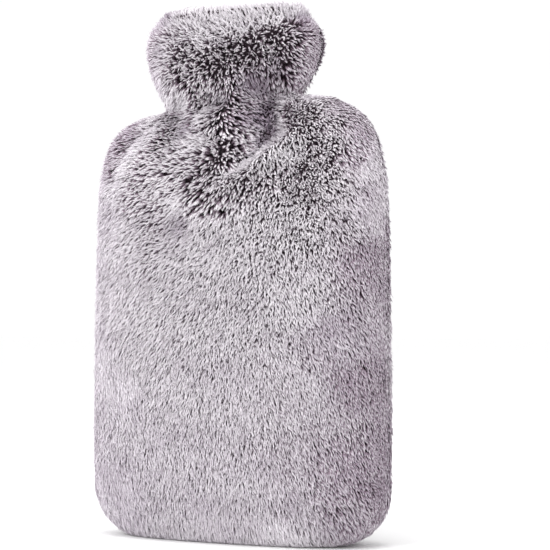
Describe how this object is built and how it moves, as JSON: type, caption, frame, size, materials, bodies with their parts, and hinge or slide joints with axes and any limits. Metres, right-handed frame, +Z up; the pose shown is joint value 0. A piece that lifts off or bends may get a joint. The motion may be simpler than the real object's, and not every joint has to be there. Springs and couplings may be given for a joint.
{
  "type": "plush hot water bottle cover",
  "caption": "Plush fur-cloth cover for a hot water bottle: a flat rounded pouch with a drawn-in neck and a flared, open collar, standing upright.",
  "frame": {"origin": "on the floor, under the middle of the base", "axes": "+Z up through the collar, +X to the right as seen from the front, -Y towards the viewer"},
  "size_m": [0.2128, 0.0829, 0.347],
  "materials": {
    "fur": "long soft pile, grey-lilac tips over dark brown roots"
  },
  "bodies": {
    "root": {"front_panel": "fur", "back_panel": "fur"}
  },
  "joints": []
}
